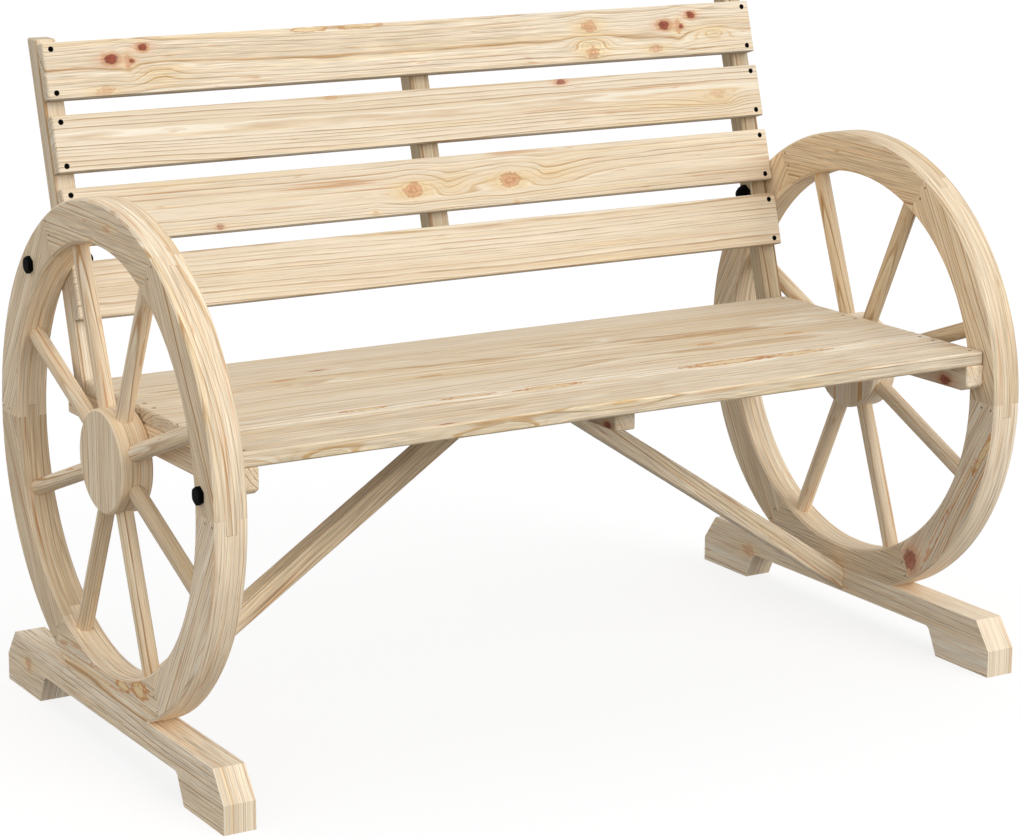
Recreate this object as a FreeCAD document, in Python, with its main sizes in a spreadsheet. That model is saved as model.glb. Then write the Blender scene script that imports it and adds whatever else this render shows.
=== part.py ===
import FreeCAD, Part
import math
import os
import re
import Sketcher

Vector = FreeCAD.Vector
Rotation = FreeCAD.Rotation
Placement = FreeCAD.Placement

# Lengths in millimetres, angles in degrees. X runs along the seat, Y to the rear, Z up.
SIZES = {
    # Seat of one narrow front board and two wide boards
    "seat_length": 1000.0,
    "seat_height": 404.5,
    "seat_setback": 24.0,
    "seat_tail_share": 0.4407,
    "board_thickness": 17.0,
    "front_board_width": 93.0,
    "board_gap": 1.5,
    "board_end_gap": 0.8,
    "board_ease": 2.0,
    # Rails under the seat's ends and the bearer under its middle
    "rail_width": 25.0,
    "rail_height": 31.0,
    "rail_tail": 50.5,
    "rail_nose_rise": 6.0,
    "rail_nose_run": 10.0,
    "bearer_width": 27.0,
    "bearer_height": 25.0,
    "bearer_setback": 25.0,
    "bearer_inset": 6.0,
    # Leaning back
    "recline": 16.0,
    "back_height": 787.0,
    "post_width": 25.5,
    "post_depth": 25.0,
    "post_gap": 1.0,
    "middle_post_width": 27.0,
    "middle_post_inset": 6.0,
    "slat_thickness": 16.0,
    "slat_gap": 18.0,
    "slat_foot_share": 0.20452,
    "post_head": 6.6,
    "slat_end_gap": 0.3,
    "edge_ease": 1.5,
    # Wheels
    "wheel_radius": 295.0,
    "rim_width": 49.5,
    "rim_thickness": 38.5,
    "rim_flat": 21.0,
    "rim_ease": 2.5,
    "hub_radius": 60.0,
    "hub_ease": 2.5,
    "spoke_diameter": 20.0,
    "spoke_phase": 25.0,
    "felloe_socket": 20.0,
    "hub_socket": 24.0,
    "socket_clearance": 0.2,
    "socket_end_gap": 0.5,
    "tongue_thickness": 13.0,
    "tongue_length": 15.0,
    "tongue_clearance": 0.15,
    "tongue_end_gap": 0.3,
    # Skids under the wheels
    "skid_length": 603.0,
    "skid_height": 67.0,
    "skid_nose_run": 25.0,
    "skid_nose_drop": 34.0,
    "foot_length": 99.0,
    "foot_slope": 17.0,
    "arch_height": 35.0,
    "arch_round": 9.0,
    # Slanting braces
    "brace_width": 25.0,
    "brace_depth": 25.0,
    # Bolts through the rims
    "bolt_diameter": 8.0,
    "bolt_clearance": 0.25,
    "bolt_head_width": 18.0,
    "bolt_head_height": 6.0,
    "bolt_head_bevel": 1.6,
    "bolt_wall": 0.5,
    "rail_bolt_inset": 10.5,
    "rail_bolt_rise": 6.2,
    "rail_bolt_bite": 18.0,
    "cap_nut_width": 21.0,
    "cap_base_height": 5.5,
    "cap_dome_radius": 8.8,
    "cap_bore_depth": 8.0,
    # Screws, nails and pins
    "screw_diameter": 3.5,
    "screw_head_diameter": 6.4,
    "screw_head_height": 2.4,
    "screw_clearance": 0.2,
    "screw_sink": 0.3,
    "screw_end_gap": 0.5,
    "slat_screw_edge": 8.0,
    "slat_screw_inset": 11.0,
    "slat_screw_bite": 9.0,
    "middle_screw_share": 0.326,
    "middle_screw_bite": 11.0,
    "bearer_screw_bite": 11.0,
    "foot_screw_inset": 12.0,
    "foot_screw_bite": 22.0,
    "skid_screw_spread": 92.0,
    "skid_screw_bite": 24.0,
    "brace_screw_grip": 17.0,
    "brace_screw_bite": 10.0,
    "nail_diameter": 2.4,
    "nail_head_diameter": 5.0,
    "nail_head_height": 1.6,
    "nail_edge": 12.0,
    "nail_bite": 14.0,
    "pin_diameter": 2.4,
    "pin_setback": 6.5,
    "pin_inset": 7.5,
    # Each cut starts this far outside the wood
    "overrun": 30.0,
}

SIDES = {"left": "-1", "right": "1"}
FELLOES = 6
SPOKES = 8
SLATS = 4
HEXAGON = 6
FULL_TURN = 360
HALF_TURN = FULL_TURN / 2
QUARTER_TURN = FULL_TURN / 4
DOWNWARD = FULL_TURN - QUARTER_TURN
FELLOE_TURN = FULL_TURN / FELLOES
SPOKE_TURN = FULL_TURN / SPOKES

# Places that follow from the sizes
PLACES = {
    "half_seat": "seat_length / 2",
    "rim_mid": "half_seat + rim_thickness / 2",
    "rim_face": "half_seat + rim_thickness",
    "rim_inner": "wheel_radius - rim_width",
    "rim_middle": "wheel_radius - rim_width / 2",
    "axle_height": "skid_height + wheel_radius - rim_flat",
    "hub_floor": "hub_radius - hub_socket",
    "spoke_start": "hub_floor + socket_end_gap",
    "spoke_end": "rim_inner + felloe_socket - socket_end_gap",
    "bolt_bore": "bolt_diameter / 2 + bolt_clearance",
    "seat_underside": "seat_height - board_thickness",
    "seat_reach": "wheel_radius - seat_setback",
    "seat_back": "wheel_radius * seat_tail_share",
    "wide_board_width": "(seat_reach + seat_back - front_board_width) / 2 - board_gap",
    "rail_mid": "half_seat - rail_width / 2",
    "rail_underside": "seat_underside - rail_height",
    "rail_end": "seat_back + rail_tail",
    "bearer_underside": "seat_underside - bearer_height",
    "bearer_front": "bearer_setback - seat_reach",
    "bearer_end": "seat_back - bearer_inset",
    "post_mid": "half_seat - post_width / 2",
    "slat_screw_line": "half_seat - slat_screw_inset",
    "post_foot": "seat_back + post_gap",
    "post_rise": "back_height - seat_underside",
    "post_length": "post_rise / cos(recline)",
    "slat_foot": "post_length * slat_foot_share",
    "slat_top": "post_length - post_head",
    "slat_pitch": f"(slat_top - slat_foot + slat_gap) / {SLATS}",
    "slat_width": "slat_pitch - slat_gap",
    "middle_screw_edge": "slat_width * middle_screw_share",
    "middle_post_foot": "slat_foot + middle_post_inset",
    "middle_post_top": "slat_top - middle_post_inset",
    "post_bolt_depth": "slat_screw_bite + screw_end_gap + bolt_wall + bolt_bore",
    "post_line_back": "post_foot + post_bolt_depth * cos(recline)",
    "post_line_height": "seat_underside - post_bolt_depth * sin(recline)",
    "post_line_rise": "post_line_height - axle_height",
    "post_line_miss": "post_line_back * cos(recline) - post_line_rise * sin(recline)",
    "post_line_lead": "post_line_back * sin(recline) + post_line_rise * cos(recline)",
    "post_bolt_rise": "sqrt(rim_middle ^ 2 - post_line_miss ^ 2) - post_line_lead",
    "post_bolt_back": "post_line_back + post_bolt_rise * sin(recline)",
    "post_bolt_height": "post_line_height + post_bolt_rise * cos(recline)",
    "rail_bolt_back": "rail_bolt_inset - seat_reach",
    "rail_bolt_height": "rail_underside + rail_bolt_rise",
    "brace_run": "half_seat - bearer_width / 2",
    "brace_slope": "atan((seat_underside - skid_height) / brace_run)",
    "brace_cut": "brace_depth / cos(brace_slope)",
    "tongue_turn": f"tongue_length / rim_middle * {HALF_TURN} / pi",
    "slot_turn": f"(tongue_length + tongue_end_gap) / rim_middle * {HALF_TURN} / pi",
    "pin_turn": f"pin_setback / rim_middle * {HALF_TURN} / pi",
    "pin_outer": "wheel_radius - pin_inset",
    "screw_bore": "screw_diameter / 2 + screw_clearance",
    "screw_recess": "screw_head_diameter / 2 + screw_clearance",
    "screw_recess_depth": "screw_head_height + screw_sink",
    "nail_bore": "nail_diameter / 2 + screw_clearance",
    "nail_recess": "nail_head_diameter / 2 + screw_clearance",
    "nail_recess_depth": "nail_head_height + screw_sink",
    "pin_bore": "pin_diameter / 2 + screw_clearance",
}

ALONG_X = Vector(1, 0, 0)
ALONG_Y = Vector(0, 1, 0)
ALONG_Z = Vector(0, 0, 1)

# Each way a hole or a screw can run, as the turn from +Z
WAYS = {
    "+x": Rotation(ALONG_Y, QUARTER_TURN),
    "-x": Rotation(ALONG_Y, -QUARTER_TURN),
    "+y": Rotation(ALONG_X, -QUARTER_TURN),
    "-y": Rotation(ALONG_X, QUARTER_TURN),
    "+z": Rotation(),
    "-z": Rotation(ALONG_X, HALF_TURN),
}

WORD = re.compile(r"[a-z][a-z_]*")
NODES = []

doc = FreeCAD.newDocument("WagonWheelBench")


def cells(text, in_places=False):
    """An expression on named sizes, each name led by the sheet that keeps it."""

    def led(match):
        word = match.group(0)
        if word in SIZES:
            return "Sizes." + word
        if word in PLACES and not in_places:
            return "Places." + word
        return word

    return WORD.sub(led, text)


def fill_sheet(name, rows):
    """A sheet with one named cell for each row."""
    sheet = doc.addObject("Spreadsheet::Sheet", name)
    for row, (alias, text) in enumerate(rows.items(), start=1):
        sheet.set(f"A{row}", alias)
        sheet.set(f"B{row}", text)
        sheet.setAlias(f"B{row}", alias)
    doc.recompute()
    return sheet


sizes = fill_sheet("Sizes", {alias: str(number) for alias, number in SIZES.items()})
places = fill_sheet("Places", {alias: "=" + cells(text, True) for alias, text in PLACES.items()})


def value(text):
    """The number that an expression has at the sheets' present sizes."""
    return float(sizes.evalExpression(cells(text)))


def point(texts):
    """The vector of three expressions."""
    return Vector(*[value(text) for text in texts])


def bind_base(item, base):
    """Tie a piece's base point to three expressions."""
    for axis, text in zip("xyz", base):
        item.setExpression(f"Placement.Base.{axis}", cells(text))


def place(item, base, turn="0"):
    """Set a piece at its base point, turned about the seat's direction."""
    item.Placement = Placement(point(base), Rotation(ALONG_X, value(turn)))
    bind_base(item, base)
    item.setExpression("Placement.Rotation.Angle", cells(turn))


def new_body(label, base, turn="0"):
    """An empty body that becomes one named piece."""
    body = doc.addObject("PartDesign::Body", label)
    body.Label = label
    place(body, base, turn)
    NODES.append(body)
    return body


def origin_part(body, role):
    """One of the body's own planes or axes."""
    return next(part for part in body.Origin.OriginFeatures if part.Role == role)


def outline(body, role, corners):
    """A sketch of one closed polygon whose corners are tied to the sheets."""
    sketch = body.newObject("Sketcher::SketchObject", body.Name + "_outline")
    sketch.AttachmentSupport = [(origin_part(body, role), "")]
    sketch.MapMode = "FlatFace"
    spots = [Vector(value(across), value(along), 0) for across, along in corners]
    for start, end in zip(spots, spots[1:] + spots[:1]):
        sketch.addGeometry(Part.LineSegment(start, end))
    for line, (across, along) in enumerate(corners):
        after = (line + 1) % len(corners)
        sketch.addConstraint(Sketcher.Constraint("Coincident", line, 2, after, 1))
        for kind, text in (("DistanceX", across), ("DistanceY", along)):
            tie = sketch.addConstraint(Sketcher.Constraint(kind, line, 1, value(text)))
            sketch.setExpression(f"Constraints[{tie}]", cells(text))
    return sketch


def pad(body, role, corners, length):
    """Wood of one outline, as long to either side of its plane."""
    feature = body.newObject("PartDesign::Pad", body.Name + "_wood")
    feature.Profile = outline(body, role, corners)
    feature.SideType = "Symmetric"
    feature.setExpression("Length", cells(length))
    doc.recompute()
    return feature


def swept(body, kind, begin, turn, section):
    """A section swept about the axle from one angle through a turn, as wood or as a slot."""
    sketch = outline(body, "XY_Plane", section)
    sketch.AttachmentOffset = Placement(Vector(), Rotation(ALONG_X, begin))
    feature = body.newObject("PartDesign::" + kind, body.Name + "_sweep")
    feature.Profile = sketch
    feature.ReferenceAxis = (sketch, ["H_Axis"])
    feature.setExpression("Angle", cells(turn))
    doc.recompute()
    return feature


def ease_all(body, size):
    """A small bevel along every edge of a plain stick."""
    feature = body.newObject("PartDesign::Chamfer", body.Name + "_ease")
    feature.Base = (body.Tip.BaseFeature or body.Tip, ["Edge1"])
    feature.UseAllEdges = True
    feature.setExpression("Size", cells(size))
    doc.recompute()
    return feature


def bore(body, radius, depth, base, way):
    """A round hole from a face point into the wood, begun outside it."""
    against = "-" if way.startswith("+") else "+"
    start = [f"{text} {against} overrun" if axis in way else text for axis, text in zip("xyz", base)]
    feature = body.newObject("PartDesign::SubtractiveCylinder", body.Name + "_bore")
    feature.Placement = Placement(point(start), WAYS[way])
    bind_base(feature, start)
    feature.setExpression("Radius", cells(radius))
    feature.setExpression("Height", cells(f"{depth} + overrun"))
    return feature


def slanted_bore(body, radius, length, base, turn):
    """A round hole from a base point, its run turned about the seat's direction."""
    feature = body.newObject("PartDesign::SubtractiveCylinder", body.Name + "_bore")
    place(feature, base, turn)
    feature.setExpression("Radius", cells(radius))
    feature.setExpression("Height", cells(length))
    return feature


def screw_hole(body, depth, base, way):
    """A shank hole with a flat recess for a screw's head."""
    bore(body, "screw_bore", depth, base, way)
    bore(body, "screw_recess", "screw_recess_depth", base, way)


def stick(label, base, corners, length, ease="edge_ease", turn="0", role="YZ_Plane"):
    """One board or batten, cut from its outline and eased."""
    body = new_body(label, base, turn)
    pad(body, role, corners, length)
    ease_all(body, ease)
    return body


def rectangle(low, high, bottom, top):
    """The corners of an upright rectangle."""
    return [(low, bottom), (high, bottom), (high, top), (low, top)]


def round_solid(profile):
    """A solid turned about +Z from corners of radius and height."""
    corners = [Vector(value(across), 0, value(along)) for across, along in profile]
    face = Part.Face(Part.makePolygon(corners + corners[:1]))
    return face.revolve(Vector(), ALONG_Z, FULL_TURN)


def headed(head_radius, head_height, shank_radius, length):
    """A flat head with its shank along +Z, the head's top at zero."""
    return round_solid([
        ("0", "0"),
        (head_radius, "0"),
        (head_radius, head_height),
        (shank_radius, head_height),
        (shank_radius, length),
        ("0", length),
    ])


def screw(length):
    """One wood screw of the shared head and shank."""
    return headed("screw_head_diameter / 2", "screw_head_height", "screw_diameter / 2", length)


def hexagon_reach(width):
    """The corner radius of a six-sided head from its width across the flats."""
    return f"{width} / 2 / cos({HALF_TURN} / {HEXAGON})"


def hexagon(width, height):
    """A six-sided prism of one width and height on the level z = 0."""
    reach = value(hexagon_reach(width))
    turns = [2 * math.pi * corner / HEXAGON for corner in range(HEXAGON + 1)]
    corners = [Vector(reach * math.cos(turn), reach * math.sin(turn), 0) for turn in turns]
    return Part.Face(Part.makePolygon(corners)).extrude(Vector(0, 0, value(height)))


def bolt(length):
    """A bevelled six-sided head above z = 0 and its shank below."""
    reach = hexagon_reach("bolt_head_width")
    bevelled = round_solid([
        ("0", "0"),
        (reach, "0"),
        (reach, "bolt_head_height - bolt_head_bevel / 2"),
        ("bolt_head_width / 2 - bolt_head_bevel", "bolt_head_height"),
        ("0", "bolt_head_height"),
    ])
    head = hexagon("bolt_head_width", "bolt_head_height").common(bevelled)
    shank = Part.makeCylinder(value("bolt_diameter / 2"), value(length), Vector(), -ALONG_Z)
    return head.fuse(shank).removeSplitter()


def cap_nut():
    """A six-sided base with a dome on it and a blind hole for the bolt's end."""
    base = hexagon("cap_nut_width", "cap_base_height")
    top = point(("0", "0", "cap_base_height"))
    dome = Part.makeSphere(value("cap_dome_radius"), top, ALONG_Z, 0, QUARTER_TURN, FULL_TURN)
    hole = Part.makeCylinder(value("bolt_bore"), value("cap_bore_depth"))
    return base.fuse(dome).removeSplitter().cut(hole)


def fasteners(label, solid, spots, base=("0", "0", "0"), turn="0"):
    """Equal fasteners as one piece, each at its spot and run along its way."""
    copies = []
    for spot, way in spots:
        copy = solid.copy()
        copy.Placement = Placement(point(spot), WAYS[way])
        copies.append(copy)
    group = doc.addObject("Part::Feature", label)
    group.Label = label
    group.Shape = Part.makeCompound(copies)
    place(group, base, turn)
    NODES.append(group)
    return group


# Skids: long feet with an arch between them, flush with the rims on both faces
HALF_SKID = "skid_length / 2"
ARCH_TOE = f"{HALF_SKID} - foot_length"
ARCH_CROWN = f"{ARCH_TOE} - foot_slope"
SKID_CORNERS = [
    (f"-({HALF_SKID})", "0"),
    (f"-({ARCH_TOE})", "0"),
    (f"-({ARCH_CROWN})", "arch_height"),
    (ARCH_CROWN, "arch_height"),
    (ARCH_TOE, "0"),
    (HALF_SKID, "0"),
    (HALF_SKID, "skid_height - skid_nose_drop"),
    (f"{HALF_SKID} - skid_nose_run", "skid_height"),
    (f"skid_nose_run - ({HALF_SKID})", "skid_height"),
    (f"-({HALF_SKID})", "skid_height - skid_nose_drop"),
]
SKID_SCREWS = ["-skid_screw_spread / 2", "skid_screw_spread / 2"]
BRACE_LOW = "skid_height - brace_cut / 2"
BRACE_HIGH = "seat_underside - brace_cut / 2"

for side, sign in SIDES.items():
    skid = new_body(f"skid_{side}", (f"{sign} * rim_mid", "0", "0"))
    pad(skid, "YZ_Plane", SKID_CORNERS, "rim_thickness")
    shape = skid.Shape
    crown = value("arch_height")
    crown_edges = []
    for number, edge in enumerate(shape.Edges, start=1):
        levels = [corner.Z for corner in edge.Vertexes]
        across = abs(edge.tangentAt(edge.FirstParameter).x)
        if across > max(abs(level - crown) for level in levels):
            crown_edges.append(f"Edge{number}")
    rounding = skid.newObject("PartDesign::Fillet", skid.Name + "_arch")
    rounding.Base = (skid.Tip.BaseFeature or skid.Tip, crown_edges)
    rounding.setExpression("Radius", cells("arch_round"))
    doc.recompute()
    for along in SKID_SCREWS:
        screw_hole(skid, "skid_height", ("0", along, "arch_height"), "+z")
    way = "+x" if side == "right" else "-x"
    inner = "-rim_thickness / 2" if side == "right" else "rim_thickness / 2"
    bore(skid, "screw_bore", "brace_screw_bite + screw_end_gap", (inner, "0", BRACE_LOW), way)

# Wheels: six felloes tongued into each other, eight round spokes and a hub flush with the rim
HALF_RIM = "rim_thickness / 2"
HALF_TONGUE = "tongue_thickness / 2"
HALF_SLOT = "(tongue_thickness / 2 + tongue_clearance)"
RIM_SECTION = [
    (f"rim_ease - {HALF_RIM}", "rim_inner"),
    (f"{HALF_RIM} - rim_ease", "rim_inner"),
    (HALF_RIM, "rim_inner + rim_ease"),
    (HALF_RIM, "wheel_radius - rim_ease"),
    (f"{HALF_RIM} - rim_ease", "wheel_radius"),
    (f"rim_ease - {HALF_RIM}", "wheel_radius"),
    (f"-{HALF_RIM}", "wheel_radius - rim_ease"),
    (f"-{HALF_RIM}", "rim_inner + rim_ease"),
]
TONGUE_SECTION = rectangle(f"-{HALF_TONGUE}", HALF_TONGUE, "rim_inner", "wheel_radius")
SLOT_SECTION = rectangle(f"-{HALF_SLOT}", HALF_SLOT, "rim_inner - overrun", "wheel_radius + overrun")
HUB_SECTION = [
    (f"-{HALF_RIM}", "0"),
    (HALF_RIM, "0"),
    (HALF_RIM, "hub_radius - hub_ease"),
    (f"{HALF_RIM} - hub_ease", "hub_radius"),
    (f"hub_ease - {HALF_RIM}", "hub_radius"),
    (f"-{HALF_RIM}", "hub_radius - hub_ease"),
]


def rim_hole(felloe, middle, back, height, way):
    """A bolt hole across a felloe at a place given in the bench's own directions."""
    rise = f"({height} - axle_height)"
    across = f"{back} * cos({middle}) + {rise} * sin({middle})"
    along = f"{rise} * cos({middle}) - {back} * sin({middle})"
    entry = f"-{HALF_RIM}" if way == "+x" else HALF_RIM
    bore(felloe, "bolt_bore", "rim_thickness + overrun", (entry, across, along), way)


def holds(start, end, back, height):
    """Whether a felloe between two angles holds a place on the rim."""
    angle = math.degrees(math.atan2(value(height) - value("axle_height"), value(back))) % FULL_TURN
    return start < angle < end


for side, sign in SIDES.items():
    wheel = (f"{sign} * rim_mid", "0", "axle_height")
    outward = "+x" if side == "right" else "-x"
    spoke_angles = [(value("spoke_phase") + SPOKE_TURN * number) % FULL_TURN for number in range(SPOKES)]

    for number in range(FELLOES):
        start = FELLOE_TURN * number
        middle = str(start + FELLOE_TURN / 2)
        begin = -FELLOE_TURN / 2
        felloe = new_body(f"felloe_{side}_{number + 1}", wheel, middle)
        swept(felloe, "Revolution", begin, str(FELLOE_TURN), RIM_SECTION)
        swept(felloe, "Revolution", begin, f"{FELLOE_TURN} + tongue_turn", TONGUE_SECTION)
        swept(felloe, "Groove", begin, "slot_turn", SLOT_SECTION)

        for spoke, angle in enumerate(spoke_angles):
            if start < angle < start + FELLOE_TURN:
                laps = math.floor((value("spoke_phase") + SPOKE_TURN * spoke) / FULL_TURN)
                turned = f"{SPOKE_TURN} * {spoke} - {FULL_TURN} * {laps}"
                run = f"spoke_phase + {turned} - {middle} - {QUARTER_TURN}"
                radius = "spoke_diameter / 2 + socket_clearance"
                slanted_bore(felloe, radius, "rim_inner + felloe_socket", ("0", "0", "0"), run)

        if holds(start, start + FELLOE_TURN, "post_bolt_back", "post_bolt_height"):
            rim_hole(felloe, middle, "post_bolt_back", "post_bolt_height", outward)
        if holds(start, start + FELLOE_TURN, "rail_bolt_back", "rail_bolt_height"):
            rim_hole(felloe, middle, "rail_bolt_back", "rail_bolt_height", outward)

        for joint in (begin, begin + FELLOE_TURN):
            pin_angle = f"({joint} + pin_turn)"
            for radius in ("rim_middle", "pin_outer"):
                spot = (f"-{HALF_RIM}", f"{radius} * cos{pin_angle}", f"{radius} * sin{pin_angle}")
                bore(felloe, "pin_bore", "rim_thickness + overrun", spot, "+x")

        if start < DOWNWARD < start + FELLOE_TURN:
            level = "wheel_radius - rim_flat"
            flat = felloe.newObject("PartDesign::SubtractiveBox", felloe.Name + "_flat")
            flat.Placement = Placement(point((f"-{HALF_RIM} - overrun", level, "-wheel_radius")), Rotation())
            bind_base(flat, (f"-{HALF_RIM} - overrun", level, "-wheel_radius"))
            flat.setExpression("Length", cells("rim_thickness + overrun * 2"))
            flat.setExpression("Width", cells("rim_flat + overrun"))
            flat.setExpression("Height", cells("wheel_radius * 2"))
            for along in SKID_SCREWS:
                bore(felloe, "screw_bore", "skid_screw_bite + screw_end_gap", ("0", level, along), "-y")
        doc.recompute()

    hub = new_body(f"wheel_hub_{side}", wheel)
    swept(hub, "Revolution", 0, str(FULL_TURN), HUB_SECTION)
    run = f"spoke_phase - {QUARTER_TURN}"
    floor = ("0", "hub_floor * cos(spoke_phase)", "hub_floor * sin(spoke_phase)")
    socket = slanted_bore(hub, "spoke_diameter / 2 + socket_clearance", "hub_radius", floor, run)
    doc.recompute()
    sockets = hub.newObject("PartDesign::PolarPattern", hub.Name + "_sockets")
    sockets.Originals = [socket]
    sockets.Axis = (origin_part(hub, "X_Axis"), [""])
    sockets.Angle = FULL_TURN
    sockets.Occurrences = SPOKES
    hub.Tip = sockets
    doc.recompute()

    for number in range(SPOKES):
        label = f"spoke_{side}_{number + 1}"
        angle = f"(spoke_phase + {SPOKE_TURN} * {number})"
        spoke = doc.addObject("Part::Cylinder", label)
        spoke.Label = label
        spoke.setExpression("Radius", cells("spoke_diameter / 2"))
        spoke.setExpression("Height", cells("spoke_end - spoke_start"))
        back = f"spoke_start * cos{angle}"
        rise = f"axle_height + spoke_start * sin{angle}"
        place(spoke, (f"{sign} * rim_mid", back, rise), f"{angle} - {QUARTER_TURN}")
        NODES.append(spoke)

# Rails and bearer under the seat
RAIL_CORNERS = [
    ("-seat_reach", "rail_underside + rail_nose_rise"),
    ("rail_nose_run - seat_reach", "rail_underside"),
    ("rail_end", "rail_underside"),
    ("rail_end", "seat_underside"),
    ("-seat_reach", "seat_underside"),
]
BOARDS = {
    "seat_board_front": ("-seat_reach", "front_board_width"),
    "seat_board_middle": ("front_board_width + board_gap - seat_reach", "wide_board_width"),
    "seat_board_back": ("seat_back - wide_board_width", "wide_board_width"),
}
NAIL_ROWS = []
for front, width in BOARDS.values():
    NAIL_ROWS.append(f"{front} + nail_edge")
    NAIL_ROWS.append(f"{front} + {width} - nail_edge")
FOOT_SCREW_BACK = "post_foot + foot_screw_inset"

for side, sign in SIDES.items():
    rail = stick(f"seat_rail_{side}", (f"{sign} * rail_mid", "0", "0"), RAIL_CORNERS, "rail_width")
    for back in NAIL_ROWS:
        bore(rail, "nail_bore", "nail_bite + screw_end_gap", ("0", back, "seat_underside"), "-z")
    screw_hole(rail, "rail_height + overrun", ("0", FOOT_SCREW_BACK, "rail_underside"), "+z")
    outer = "rail_width / 2" if side == "right" else "-rail_width / 2"
    inward = "-x" if side == "right" else "+x"
    spot = (outer, "rail_bolt_back", "rail_bolt_height")
    bore(rail, "bolt_bore", "rail_bolt_bite + screw_end_gap", spot, inward)

bearer_side = rectangle("bearer_front", "bearer_end", "bearer_underside", "seat_underside")
bearer = stick("seat_bearer", ("0", "0", "0"), bearer_side, "bearer_width")
for front, width in BOARDS.values():
    screw_hole(bearer, "bearer_height + overrun", ("0", f"{front} + {width} / 2", "bearer_underside"), "+z")
for sign, way in (("-1", "+x"), ("1", "-x")):
    spot = (f"{sign} * bearer_width / 2", "0", BRACE_HIGH)
    bore(bearer, "screw_bore", "brace_screw_bite + screw_end_gap", spot, way)

# Seat boards
for label, (front, width) in BOARDS.items():
    section = rectangle("0", width, "seat_underside", "seat_height")
    board = stick(label, ("0", front, "0"), section, "seat_length - board_end_gap * 2", "board_ease")
    for sign in SIDES.values():
        for back in ("nail_edge", f"{width} - nail_edge"):
            spot = (f"{sign} * rail_mid", back, "seat_height")
            bore(board, "nail_bore", "board_thickness + overrun", spot, "-z")
            bore(board, "nail_recess", "nail_recess_depth", spot, "-z")
    spot = ("0", f"{width} / 2", "seat_underside")
    bore(board, "screw_bore", "bearer_screw_bite + screw_end_gap", spot, "+z")

# Braces from the bearer's middle down to the skids, with upright end cuts
for side, sign in SIDES.items():
    corners = [
        (f"{sign} * bearer_width / 2", "seat_underside"),
        (f"{sign} * bearer_width / 2", "seat_underside - brace_cut"),
        (f"{sign} * half_seat", "skid_height - brace_cut"),
        (f"{sign} * half_seat", "skid_height"),
    ]
    brace = stick(f"brace_{side}", ("0", "0", "0"), corners, "brace_width", role="XZ_Plane")
    inward = "-x" if side == "right" else "+x"
    outward = "+x" if side == "right" else "-x"
    top_end = f"{sign} * (bearer_width / 2 + brace_screw_grip)"
    low_end = f"{sign} * (half_seat - brace_screw_grip)"
    for way, spot in ((inward, (top_end, "0", BRACE_HIGH)), (outward, (low_end, "0", BRACE_LOW))):
        screw_hole(brace, "brace_screw_grip + overrun", spot, way)

# Back posts: end posts stand level on the rails, the middle one ties the slats
POST_SIDE = [
    ("0", "0"),
    ("post_depth", "post_depth * tan(recline)"),
    ("post_depth", "(post_rise + post_depth * sin(recline)) / cos(recline)"),
    ("0", "post_length"),
]
SLAT_FEET = [f"slat_foot + slat_pitch * {number}" for number in range(SLATS)]
SCREW_RISES = []
MIDDLE_RISES = []
for foot in SLAT_FEET:
    SCREW_RISES.append(f"{foot} + slat_screw_edge")
    SCREW_RISES.append(f"{foot} + slat_width - slat_screw_edge")
    MIDDLE_RISES.append(f"{foot} + middle_screw_edge")
    MIDDLE_RISES.append(f"{foot} + slat_width - middle_screw_edge")

for side, sign in SIDES.items():
    base = (f"{sign} * post_mid", "post_foot", "seat_underside")
    post = stick(f"back_post_{side}", base, POST_SIDE, "post_width", turn="-recline")
    lateral = f"{sign} * (slat_screw_line - post_mid)"
    for rise in SCREW_RISES:
        bore(post, "screw_bore", "slat_screw_bite + screw_end_gap", (lateral, "0", rise), "+y")
    way = "-x" if side == "right" else "+x"
    outer = "post_width / 2" if side == "right" else "-post_width / 2"
    bore(post, "bolt_bore", "post_width + overrun", (outer, "post_bolt_depth", "post_bolt_rise"), way)
    lateral = f"{sign} * (rail_mid - post_mid)"
    toe = "(foot_screw_inset * cos(recline) + overrun * sin(recline))"
    heel = "(foot_screw_inset * sin(recline) - overrun * cos(recline))"
    depth = "foot_screw_bite + screw_end_gap + overrun"
    slanted_bore(post, "screw_bore", depth, (lateral, toe, heel), "recline")

middle_base = ("0", "post_foot", "seat_underside")
middle_side = rectangle("0", "post_depth", "middle_post_foot", "middle_post_top")
middle_post = stick("back_post_middle", middle_base, middle_side, "middle_post_width", turn="-recline")
for rise in MIDDLE_RISES:
    screw_hole(middle_post, "post_depth + overrun", ("0", "post_depth", rise), "-y")

# Back slats, lowest first
for number, foot in enumerate(SLAT_FEET, start=1):
    base = ("0", f"post_foot + ({foot}) * sin(recline)", f"seat_underside + ({foot}) * cos(recline)")
    section = rectangle("-slat_thickness", "0", "0", "slat_width")
    slat = stick(f"back_slat_{number}", base, section, "seat_length - slat_end_gap * 2", turn="-recline")
    for rise in ("slat_screw_edge", "slat_width - slat_screw_edge"):
        for sign in SIDES.values():
            spot = (f"{sign} * slat_screw_line", "-slat_thickness", rise)
            screw_hole(slat, "slat_thickness + overrun", spot, "+y")
    for rise in ("middle_screw_edge", "slat_width - middle_screw_edge"):
        bore(slat, "screw_bore", "middle_screw_bite + screw_end_gap", ("0", "0", rise), "-y")

# Fasteners
SLAT_SPOTS = []
MIDDLE_SPOTS = []
for rise in MIDDLE_RISES:
    MIDDLE_SPOTS.append((("0", "post_depth - screw_sink", rise), "-y"))
for rise in SCREW_RISES:
    for sign in SIDES.values():
        SLAT_SPOTS.append(((f"{sign} * slat_screw_line", "screw_sink - slat_thickness", rise), "+y"))
slat_screw = screw("slat_thickness - screw_sink + slat_screw_bite")
fasteners("slat_screws", slat_screw, SLAT_SPOTS, middle_base, "-recline")
middle_screw = screw("post_depth - screw_sink + middle_screw_bite")
fasteners("middle_post_screws", middle_screw, MIDDLE_SPOTS, middle_base, "-recline")

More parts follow.
